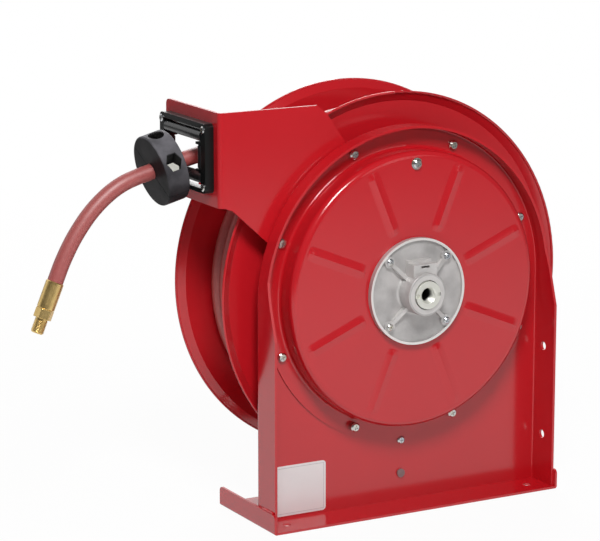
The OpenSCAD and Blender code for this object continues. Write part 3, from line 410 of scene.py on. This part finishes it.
def thread_cut(name, outline, pitch, turns, in_bore=False):
    """A screw thread about +Z, from the outline of its crest and flanks. In a bore it faces in."""
    piece = profile(name, outline)
    bpy.ops.object.modifier_add(type="SCREW")
    screw = piece.modifiers[0]
    screw.angle = 2 * math.pi * turns
    screw.screw_offset = pitch * turns
    screw.steps = 24 * turns
    screw.render_steps = screw.steps
    screw.use_normal_calculate = True
    screw.use_normal_flip = in_bore
    bpy.ops.object.modifier_apply(modifier=screw.name)
    return piece


def lay_down(piece, origin, turn):
    """Turns a piece made along +Z about Y, takes it to its place and fixes both in its mesh."""
    piece.rotation_euler = (0, math.radians(turn), 0)
    piece.location = origin
    pick(piece)
    bpy.ops.object.transform_apply(location=True, rotation=True, scale=True)
    return piece


def join(pieces):
    deselect()
    for piece in pieces:
        piece.select_set(True)
    bpy.context.view_layer.objects.active = pieces[0]
    bpy.ops.object.join()
    return pieces[0]


core_r = thread_r - thread_depth
body_start = hex_end - 0.001
body = turned_part("hose_end_nipple", [
    (bore_r, body_start), (core_r, body_start), (core_r, nipple_end - nipple_lead_in),
    (core_r - 0.0008, nipple_end), (bore_r, nipple_end), (bore_r, body_start),
])

deselect()
bpy.ops.mesh.primitive_cylinder_add(
    vertices=6,
    radius=hex_r,
    depth=hex_end - hex_start,
    location=(0, 0, (hex_start + hex_end) / 2),
    rotation=(0, 0, math.radians(90 + hex_turn)),
)
hexagon = bpy.context.object
bpy.ops.object.transform_apply(location=True, rotation=True, scale=True)
bpy.ops.object.modifier_add(type="BEVEL")
bevel = hexagon.modifiers[0]
bevel.width = hex_bevel
bevel.segments = 2
bpy.ops.object.modifier_apply(modifier=bevel.name)

foot_r = core_r - 0.0002
thread_outline = [
    (foot_r, 0), (thread_r, thread_pitch * 0.42), (thread_r, thread_pitch * 0.52),
    (foot_r, thread_pitch * 0.94),
]
thread = thread_cut("thread", thread_outline, thread_pitch, thread_turns)
thread.location = (0, 0, hex_end + 0.0008)
bpy.ops.object.transform_apply(location=True, rotation=True, scale=True)
nipple = lay_down(join([body, hexagon, thread]), fitting_start, fitting_turn)
nipple.data.materials.append(brass)
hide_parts("hose_nipple")
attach(nipple, "stand")


def dress(material, *names):
    for name in names:
        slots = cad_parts[name].material_slots
        for slot in slots:
            slot.material = material


dress(knurled_brass, "hose_ferrule")
dress(brass, "tail_fitting")

# ---- Hose stop ----
# Two alike halves of hard black rubber, moulded with a fine matt grain and clamped round the hose
# by two screws that point opposite ways. The rim is painted light grey towards its top, as a painted
# highlight from the light above; lower down it is nearly the near black of the face.
stop_rim_r = 0.0360
stop_edge_w = 0.0012
stop_light_z = 0.025
stop_boxes = [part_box("stop_upper_half"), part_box("stop_lower_half")]
stop_middle = sum((low + high for low, high in stop_boxes), Vector()) / 4
stop_axis = (Vector(free_points[4]) - Vector(free_points[3])).normalized()


def stop_finish():
    finish = Finish("stop_rubber")
    grain = finish.noise(900, 3)
    bloom = finish.between(finish.noise(45, 5), 0, 1, 0.38, 0.62)
    centred = finish.place(stop_middle)
    ends = {0: centred, 1: (stop_axis.x, 0, stop_axis.y)}
    along = finish.node("ShaderNodeVectorMath", {"operation": "DOT_PRODUCT"}, ends, "Value")
    out = (centred.length() ** 2 - along ** 2) ** 0.5
    _, _, height = finish.split(centred)
    face = finish.mix(bloom, (0.005, 0.005, 0.006), (0.022, 0.021, 0.023))
    # The rim's grey shows only towards its top: painted light from above, not dust.
    rim = finish.mix(bloom, (0.080, 0.078, 0.086), (0.150, 0.145, 0.160))
    on_rim = finish.between(out, 0, 1, stop_rim_r - stop_edge_w, stop_rim_r)
    rim_top_light = on_rim * finish.between(height, 0.1, 1, -stop_light_z, stop_light_z)
    return finish.surface(
        base_color=finish.mix(rim_top_light, face, rim),
        roughness=finish.between(grain, 0.42, 0.58),
        ior=1.18,
        normal=finish.bump(grain + bloom, 0.00015, 0.5),
    )


dress(stop_finish(), "stop_upper_half", "stop_lower_half")

# ---- Roller guide ----
# A glass-filled nylon frame, satin and slightly sparkling, with four smooth rollers of the same
# stuff whose turned faces catch the light in a line.
def nylon_finish():
    finish = Finish("guide_nylon")
    sparkle = finish.noise(1500, 2)
    return finish.surface(
        base_color=finish.mix(finish.noise(35, 3), (0.004, 0.005, 0.005), (0.009, 0.010, 0.010)),
        roughness=finish.between(sparkle, 0.24, 0.38),
        ior=1.35,
        normal=finish.bump(sparkle, 0.00008, 0.5),
    )


def roller_finish():
    finish = Finish("roller_nylon")
    rings = finish.noise(700, 2, (0.15, 1, 0.15))
    return finish.surface(
        base_color=finish.mix(rings, (0.008, 0.008, 0.009), (0.016, 0.016, 0.017)),
        roughness=finish.between(rings, 0.22, 0.36),
        normal=finish.bump(rings, 0.00006, 0.5),
    )


dress(nylon_finish(), "roller_bracket")
dress(roller_finish(), "top_roller", "bottom_roller", "front_roller", "rear_roller")

# ---- Painted sheet metal ----
# Pedestal, base, spring cover, guide arm and spool are folded or pressed steel under one gloss red
# powder coat, which flows out smooth but keeps a faint orange peel.
def powder_coat_finish():
    finish = Finish("red_powder_coat")
    peel = finish.noise(420, 2)
    drift = finish.noise(7, 3)
    return finish.surface(
        base_color=finish.mix(drift, (0.52, 0.009, 0.015), (0.58, 0.011, 0.019)),
        roughness=finish.between(drift, 0.14, 0.20),
        ior=1.6,
        normal=finish.bump(peel, 0.00003, 0.35),
    )


powder_coat = powder_coat_finish()
dress(
    powder_coat, "base_plate", "pedestal", "spring_cover", "guide_arm",
    "front_sheave", "rear_sheave", "drum",
)

# ---- Weld beads ----
# Short arc-weld beads join the pedestal to the base, under the same paint. Each is a lumpy ridge
# of overlapping ripples.
bead_r = 0.0021
lump_size = 0.0045
lump_height = 0.0022


def weld_bead(name, start, end):
    deselect()
    run = Vector(end) - Vector(start)
    bpy.ops.mesh.primitive_cylinder_add(
        vertices=14, radius=bead_r, depth=run.length, end_fill_type="TRIFAN")
    bead = bpy.context.object
    bead.name = name
    bpy.ops.object.mode_set(mode="EDIT")
    bpy.ops.mesh.select_all(action="SELECT")
    bpy.ops.mesh.subdivide(number_cuts=3)
    bpy.ops.object.mode_set(mode="OBJECT")
    bead.rotation_mode = "QUATERNION"
    bead.rotation_quaternion = run.to_track_quat("Z", "Y")
    bead.location = (Vector(start) + Vector(end)) / 2
    bpy.ops.object.transform_apply(location=True, rotation=True, scale=True)
    lumps = bpy.data.textures.new(name + "_lumps", "CLOUDS")
    lumps.noise_scale = lump_size
    bpy.ops.object.modifier_add(type="SUBSURF")
    bead.modifiers[-1].levels = 1
    bead.modifiers[-1].render_levels = 1
    bpy.ops.object.modifier_add(type="DISPLACE")
    bead.modifiers[-1].texture = lumps
    bead.modifiers[-1].strength = lump_height
    bead.modifiers[-1].mid_level = 0.6
    for modifier in list(bead.modifiers):
        bpy.ops.object.modifier_apply(modifier=modifier.name)
    bpy.ops.object.shade_smooth()
    return bead


side_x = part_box("pedestal")[1].x
lip_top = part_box("base_plate")[1].z
pedestal_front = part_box("pedestal")[0].y
side_bead_ends = (pedestal_front + 0.003, pedestal_front + 0.026)
rear_bead_x = 0.129
rear_bead_half_len = 0.021
rear_bead_y = 0.0029
rear_bead_z = 0.0026
beads = []
for side, x in (("left", -side_x), ("right", side_x)):
    beads.append(weld_bead(f"weld_bead_{side}", *((x, y, lip_top) for y in side_bead_ends)))
for place, x in (("rear_left", -rear_bead_x), ("rear_middle", 0), ("rear_right", rear_bead_x)):
    ends = (x - rear_bead_half_len, x + rear_bead_half_len)
    run = ((end, rear_bead_y, rear_bead_z) for end in ends)
    beads.append(weld_bead(f"weld_bead_{place}", *run))
for bead in beads:
    bead.data.materials.append(powder_coat)
    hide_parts("weld_beads")
    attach(bead, "stand")

# ---- Blank label ----
# A white vinyl label with rounded corners, stuck to the main plate at the lower left. It is bare
# but for a thin grey rule round its edge.
rule_inset = 0.0025
rule_half_w = 0.0002


def label_finish():
    finish = Finish("label_vinyl")
    low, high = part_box("blank_label")
    across, _, up = finish.split(finish.place((low + high) / 2))
    half = (high - low) / 2
    past_side = abs(across) - (half.x - rule_inset)
    past_top = abs(up) - (half.z - rule_inset)
    edge = past_side.math("MAXIMUM", past_side, past_top)
    rule = abs(edge) < rule_half_w
    paper = finish.mix(finish.noise(40, 3), (0.80, 0.79, 0.79), (0.86, 0.85, 0.85))
    return finish.surface(
        base_color=finish.mix(rule, paper, (0.45, 0.45, 0.46)),
        roughness=finish.between(finish.noise(300), 0.28, 0.40),
        normal=finish.bump(finish.noise(160), 0.00003, 0.4),
    )


dress(label_finish(), "blank_label")

# ---- Hub casting and bearing housing ----
# Warm grey die castings with a fine cast skin, screwed to the cover and to the main plate. The rim
# is turned bright and the boss's face a little brighter than the rest; the gussets are painted a
# little brighter too, as a painted highlight on them.
rim_in_r = 0.0538
rim_front = -0.0326
gusset_in_r = 0.0226
gusset_out_r = 0.0460
gusset_front = -0.0306
boss_face_r = 0.0203
boss_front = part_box("hub_casting")[0].y


def round_the_axis(finish):
    """How far a point lies from the spool's axis, and how far behind the main plate's face."""
    across, depth, up = finish.split(finish.place((0, 0, axis_z)))
    return (across * across + up * up) ** 0.5, depth


def cast_finish():
    finish = Finish("cast_aluminium")
    skin = finish.noise(520, 4)
    cloud = finish.noise(38, 4)
    out, depth = round_the_axis(finish)
    rim = (out > rim_in_r) * (depth < rim_front)
    gusset_highlight = (out > gusset_in_r) * (out < gusset_out_r) * (depth < gusset_front)
    face = (out < boss_face_r) * (depth < boss_front + 0.0006)
    # The gussets' share here is painted highlight; the rim and the boss's face are turned bright.
    turned = rim.math("MAXIMUM", rim, gusset_highlight * 0.35 + face * 0.5)
    patches = finish.between(cloud, 0, 1, 0.3, 0.7)
    grey = finish.mix(patches, (0.40, 0.385, 0.38), (0.64, 0.62, 0.61))
    return finish.surface(
        base_color=finish.mix(turned, grey, (0.84, 0.81, 0.79)),
        metallic=0.4,
        roughness=finish.between(cloud, 0.36, 0.48) - turned * 0.12,
        normal=finish.bump(skin * (1 - turned * 0.8), 0.0002, 0.55),
    )


dress(cast_finish(), "hub_casting", "bearing_housing")

# ---- Threaded inlet ----
# A turned steel collar, zinc-plated, held in the hub's boss. Pipe thread runs down its bore, which
# is painted black further in, as painted shade deep in the bore. Shaft, arbor, set screws and
# springs are bare steel, made likewise.
inlet_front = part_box("inlet_body")[0].y
inlet_r = 0.0076
bore_shade_r = inlet_r + 0.0003
bore_shade_colour = (0.02, 0.02, 0.02)
bore_shade_from = inlet_front + 0.003
bore_shade_full = inlet_front + 0.011


def turned_steel_finish(name, light, dark, rough, metallic=1.0):
    finish = Finish(name)
    grooves = finish.noise(800, 2, (1, 5, 1))
    out, depth = round_the_axis(finish)
    bore = (out < bore_shade_r) * (depth < 0)
    # Painted shade: the bore turns black further in from its mouth.
    bore_shade = finish.between(depth, 0, 1, bore_shade_from, bore_shade_full) * bore
    steel = finish.mix(finish.noise(50, 3), dark, light)
    return finish.surface(
        base_color=finish.mix(bore_shade, steel, bore_shade_colour),
        metallic=metallic,
        roughness=finish.between(grooves, rough, rough + 0.12),
        normal=finish.bump(grooves, 0.00005, 0.5),
    )


bright_steel = turned_steel_finish("bright_steel", (0.86, 0.86, 0.84), (0.72, 0.72, 0.70), 0.22)
dress(bright_steel, "arbor_key", "set_screws")
inlet_steel = turned_steel_finish(
    "plated_inlet", (0.86, 0.86, 0.79), (0.76, 0.76, 0.69), 0.38, metallic=0.6)
dress(inlet_steel, "inlet_body", "stop_screws", "stop_nuts")
ground_steel = turned_steel_finish("ground_steel", (0.62, 0.62, 0.63), (0.50, 0.50, 0.52), 0.20)
dress(ground_steel, "shaft", "spring_arbor")
blued_steel = turned_steel_finish(
    "blued_spring_steel", (0.20, 0.21, 0.26), (0.12, 0.13, 0.17), 0.28)
dress(blued_steel, "power_spring", "pawl_spring")

inlet_pitch = 0.00141
inlet_turns = 7
inlet_crest_r = inlet_r - 0.0006
inlet_foot_r = inlet_r + 0.0001
inlet_outline = [
    (inlet_foot_r, 0), (inlet_crest_r, inlet_pitch * 0.45), (inlet_foot_r, inlet_pitch * 0.9),
]
inlet_thread = thread_cut(
    "inlet_thread", inlet_outline, inlet_pitch, inlet_turns, in_bore=True)
bpy.ops.object.shade_smooth_by_angle(angle=math.radians(30))
inlet_thread.rotation_euler = (math.radians(-90), 0, 0)
inlet_thread.location = (0, inlet_front + 0.0016, axis_z)
bpy.ops.object.transform_apply(location=True, rotation=True, scale=True)
inlet_thread.data.materials.append(inlet_steel)
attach(inlet_thread, "stand")

# ---- Zinc-plated hardware ----
# Screws, nuts, washers, pins, the ratchet and the spool's hubs are steel with a bright zinc plate:
# silver with faint blue and straw clouds.
zinc_tints = [
    (0.30, (0.46, 0.49, 0.54)), (0.50, (0.60, 0.60, 0.60)), (0.68, (0.64, 0.60, 0.52)),
]


def zinc_finish():
    finish = Finish("zinc_plate")
    cloud = finish.noise(95, 3)
    return finish.surface(
        base_color=finish.node("ShaderNodeValToRGB", {"stops": zinc_tints}, {"Fac": cloud}),
        metallic=1.0,
        roughness=finish.between(finish.noise(600, 2), 0.16, 0.32),
        normal=finish.bump(finish.noise(900, 2), 0.00004, 0.5),
    )


dress(
    zinc_finish(),
    "cover_bolts", "cover_nuts", "washers", "anchor_screw", "small_screws", "small_nuts",
    "bracket_screws", "bracket_nuts", "roller_pins", "pawl", "pawl_bolt", "pawl_spacer",
    "pawl_nut", "shaft_clip", "spool_flanges", "flange_bolts", "flange_nuts", "end_washer",
    "end_nut", "ratchet_ring", "ratchet_spacers", "tie_bolts", "tie_nuts",
)

# ---- Spring post ----
# A plain rivet low on the main plate, on which the lower leg of the pawl's spring leans. Its grey
# phosphate coat has gone dull, with a breath of the red paint over it.
def phosphate_finish():
    finish = Finish("dull_phosphate")
    cloud = finish.noise(240, 4)
    return finish.surface(
        base_color=finish.mix(cloud, (0.20, 0.13, 0.13), (0.34, 0.24, 0.24)),
        metallic=0.3,
        roughness=finish.between(cloud, 0.48, 0.62),
        normal=finish.bump(cloud, 0.0001, 0.5),
    )


dress(phosphate_finish(), "spring_post")

# ---- Bushes and seals ----
# Oiled bronze bearings are pressed into the hub casting and the bearing housing, and two soft
# black rings seal the swivel. The tail hose joins the swivel's passage to the wound hose.
def bronze_finish():
    finish = Finish("oiled_bronze")
    pores = finish.noise(1100, 3)
    return finish.surface(
        base_color=finish.mix(pores, (0.34, 0.19, 0.07), (0.52, 0.32, 0.13)),
        metallic=1.0,
        roughness=finish.between(pores, 0.32, 0.50),
        normal=finish.bump(pores, 0.00008, 0.5),
    )


def seal_finish():
    finish = Finish("seal_rubber")
    skin = finish.noise(1200, 2)
    return finish.surface(
        base_color=finish.mix(skin, (0.010, 0.010, 0.010), (0.022, 0.022, 0.022)),
        roughness=finish.between(skin, 0.22, 0.34),
        normal=finish.bump(skin, 0.00005, 0.4),
    )


tail_len = 0.068
dress(bronze_finish(), "bushes")
dress(seal_finish(), "inlet_seals")
dress(hose_finish("tail_hose_pvc", tail_len, shaded_hose_colours), "tail_hose")

# ---- Studio ----
# A white table top ends a step in front of the reel, and a white backdrop stands behind it, in a
# room that is dark above, so that gloss shows the table below and little else. One lamp on the
# left lights the front, a second one fills the right, and a third stands behind.
table_size = 10
table_middle_y = 3.3
table_bright_to = 0.7
table_dark_from = 1.9
backdrop_glow = 0.88
room_glow = 0.12
white = (1, 1, 1)
deselect()
bpy.ops.mesh.primitive_plane_add(size=table_size, location=(0, table_middle_y, 0))
floor = bpy.context.object
floor.name = "floor"
bpy.ops.object.transform_apply(location=True, rotation=True, scale=True)
floor_finish = Finish("white_table")
light_path = floor_finish.node("ShaderNodeLightPath")
mirrored = light_path.output("Is Glossy Ray") + light_path.output("Is Transmission Ray")
distance = floor_finish.place().length()
near = floor_finish.between(distance, 1, 0, table_bright_to, table_dark_from)
share = light_path.output("Is Camera Ray") * (1 - near * 0.05) + mirrored * near
glow = floor_finish.node("ShaderNodeEmission", {}, {"Color": white, "Strength": 1.0})
floor_finish.surface(base_color=(0.85, 0.85, 0.85), roughness=0.9)
shaded = Wire(floor_finish, floor_finish.shader.outputs[0])
lit = floor_finish.node("ShaderNodeMixShader", {}, {0: share, 1: shaded, 2: glow})
floor_output = floor_finish.tree.nodes["Material Output"]
floor_finish.tree.links.new(lit.socket, floor_output.inputs["Surface"])
floor.data.materials.append(floor_finish.material)

room = Finish("studio", "worlds", "Background")
bpy.context.scene.world = room.material
light_path = room.node("ShaderNodeLightPath")
_, rearward, upward = room.split(room.node("ShaderNodeTexCoord", output="Generated"))
backdrop = room.between(rearward, 0, 1, 0.3, 0.5) * (upward > 0.02)
mirrored = light_path.output("Is Glossy Ray") + light_path.output("Is Transmission Ray")
seen_by_gloss = mirrored * (backdrop * backdrop_glow + room_glow)
soaked_up = light_path.output("Is Diffuse Ray") * room_glow
strength = light_path.output("Is Camera Ray") + seen_by_gloss + soaked_up
room.surface(strength=strength, color=white)

lamp_target = (0, 0, 0.2)


def soft_light(name, place, size, power):
    data = bpy.data.lights.new(name, "AREA")
    data.shape = "DISK"
    data.size = size
    data.energy = power
    lamp = bpy.data.objects.new(name, data)
    lamp.location = place
    aim = Vector(lamp_target) - Vector(place)
    lamp.rotation_euler = aim.to_track_quat("-Z", "Y").to_euler()
    bpy.context.collection.objects.link(lamp)


soft_light("key_light", (-0.6, -1.15, 1.6), size=0.6, power=28)
soft_light("fill_light", (1.4, -2.8, 1.3), size=1.2, power=4)
soft_light("back_light", (0.9, 1.7, 1.5), size=1.2, power=30)
bpy.context.scene.view_settings.view_transform = "Standard"
